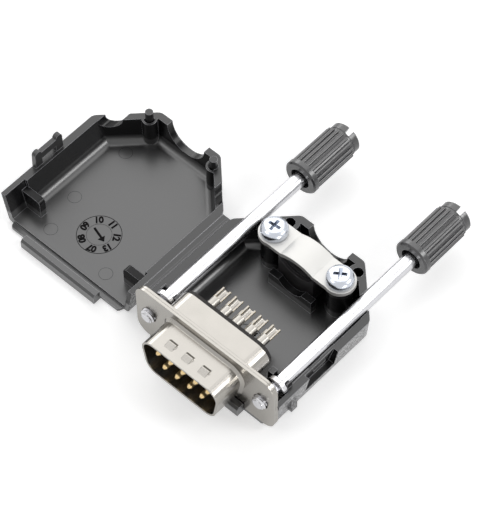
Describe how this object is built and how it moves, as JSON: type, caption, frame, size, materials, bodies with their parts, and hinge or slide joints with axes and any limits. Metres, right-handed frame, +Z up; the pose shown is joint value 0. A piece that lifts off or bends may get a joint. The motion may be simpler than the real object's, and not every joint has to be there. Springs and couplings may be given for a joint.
{
  "type": "d-sub hood",
  "caption": "Folding plastic hood for a D-sub plug, open on its film hinge, with thumbscrews, cable clamp and plug.",
  "frame": {"origin": "on the underside of the base half, on its middle plane, below the plane at its mouth where the plug's flange seats", "axes": "+Y from the mouth to the cable outlet, +Z up from the base half's underside, +X to the right, away from the cover half"},
  "size_m": [0.0645, 0.0558, 0.0132],
  "materials": {
    "hood_plastic": "satin moulded",
    "knob_plastic": "satin moulded",
    "grip_plastic": "satin moulded",
    "rod_steel": "bright nickel plate",
    "clamp_steel": "bright plate",
    "screw_zinc": "blue zinc plate",
    "shell_tin": "tin plate",
    "insulator": "smooth",
    "contact_gold": "gold flash"
  },
  "bodies": {
    "base": {"base_shell": "hood_plastic", "clamp_plate": "clamp_steel", "clamp_screws": "screw_zinc", "grip_block": "grip_plastic", "connector_front_shell": "shell_tin", "connector_rear_shell": "shell_tin", "front_insulator": "insulator", "rear_insulator": "insulator", "contact_1": "contact_gold", "contact_2": "contact_gold", "contact_3": "contact_gold", "contact_4": "contact_gold", "contact_5": "contact_gold", "contact_6": "contact_gold", "contact_7": "contact_gold", "contact_8": "contact_gold", "contact_9": "contact_gold"},
    "cover": {"cover_shell": "hood_plastic"},
    "thumbscrew_left": {"thumbscrew_rod_left": "rod_steel", "thumbscrew_knob_left": "knob_plastic"},
    "thumbscrew_right": {"thumbscrew_rod_right": "rod_steel", "thumbscrew_knob_right": "knob_plastic"}
  },
  "joints": [
    {"name": "cover_hinge", "type": "hinge", "parent": "base", "child": "cover", "pos_m": [-0.0165, 0.01125, 0.0069], "axis": [0, 1, 0], "range_deg": [0, 180]},
    {"name": "thumbscrew_left_turn", "type": "hinge", "parent": "base", "child": "thumbscrew_left", "pos_m": [-0.01249, 0.02, 0.0069], "axis": [0, 1, 0], "continuous": true},
    {"name": "thumbscrew_right_turn", "type": "hinge", "parent": "base", "child": "thumbscrew_right", "pos_m": [0.01249, 0.02, 0.0069], "axis": [0, 1, 0], "continuous": true}
  ]
}
